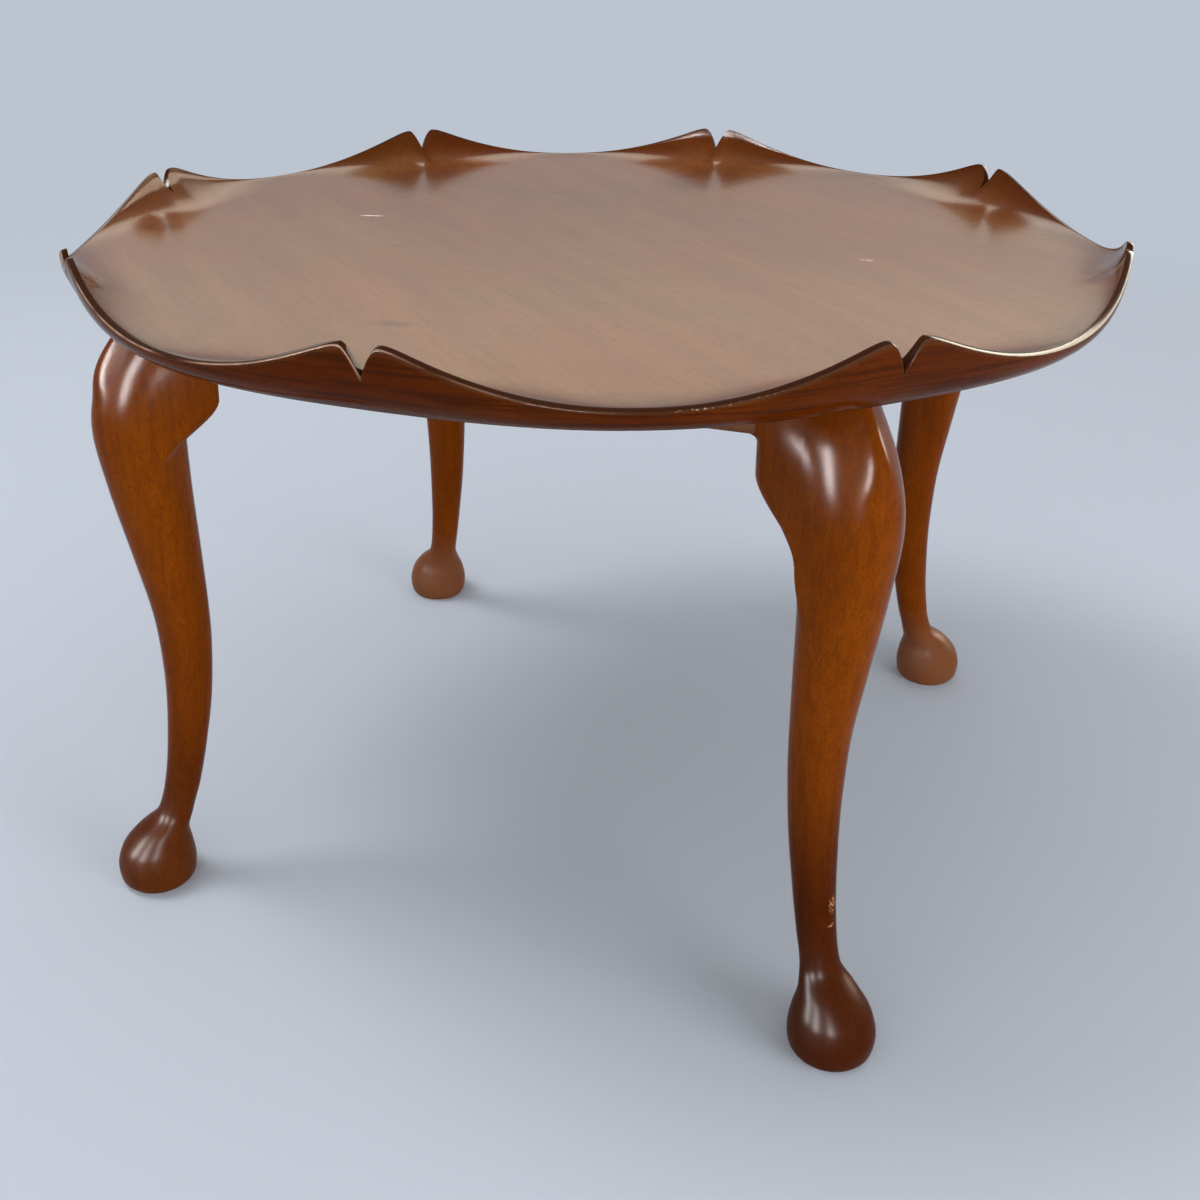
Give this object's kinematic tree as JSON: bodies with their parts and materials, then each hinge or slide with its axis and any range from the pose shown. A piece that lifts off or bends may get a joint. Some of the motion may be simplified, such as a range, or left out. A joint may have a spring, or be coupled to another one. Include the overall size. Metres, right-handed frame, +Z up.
{
  "type": "coffee table",
  "caption": "Round coffee table in polished mahogany: dished top with a scalloped, notched rim on cabriole legs with club feet.",
  "frame": {"origin": "on the floor, under the centre of the top", "axes": "+Z up, -Y to the front of the table, where one scallop of the rim faces the viewer between the two front legs, +X to the right"},
  "size_m": [0.8296, 0.8296, 0.53],
  "materials": {
    "top_mahogany": "gloss lacquer",
    "leg_mahogany": "satin-gloss lacquer",
    "frame_mahogany": "thin stain, nearly matt",
    "screw_steel": "bright, slightly dulled"
  },
  "bodies": {
    "root": {"top_board_front_left_outer": "top_mahogany", "top_board_front_left_inner": "top_mahogany", "top_board_middle": "top_mahogany", "top_board_back_right_inner": "top_mahogany", "top_board_back_right_outer": "top_mahogany", "leg_back_right": "leg_mahogany", "leg_back_left": "leg_mahogany", "leg_front_left": "leg_mahogany", "leg_front_right": "leg_mahogany", "knee_bracket_back_right_on_back_rail": "leg_mahogany", "knee_bracket_back_right_on_right_rail": "leg_mahogany", "knee_bracket_back_left_on_left_rail": "leg_mahogany", "knee_bracket_back_left_on_back_rail": "leg_mahogany", "knee_bracket_front_left_on_front_rail": "leg_mahogany", "knee_bracket_front_left_on_left_rail": "leg_mahogany", "knee_bracket_front_right_on_right_rail": "leg_mahogany", "knee_bracket_front_right_on_front_rail": "leg_mahogany", "rail_back": "frame_mahogany", "rail_left": "frame_mahogany", "rail_front": "frame_mahogany", "rail_right": "frame_mahogany", "corner_block_back_right": "frame_mahogany", "corner_block_back_left": "frame_mahogany", "corner_block_front_left": "frame_mahogany", "corner_block_front_right": "frame_mahogany", "top_screw_back_1": "screw_steel", "top_screw_back_2": "screw_steel", "top_screw_left_1": "screw_steel", "top_screw_left_2": "screw_steel", "top_screw_front_1": "screw_steel", "top_screw_front_2": "screw_steel", "top_screw_right_1": "screw_steel", "top_screw_right_2": "screw_steel"}
  },
  "joints": []
}
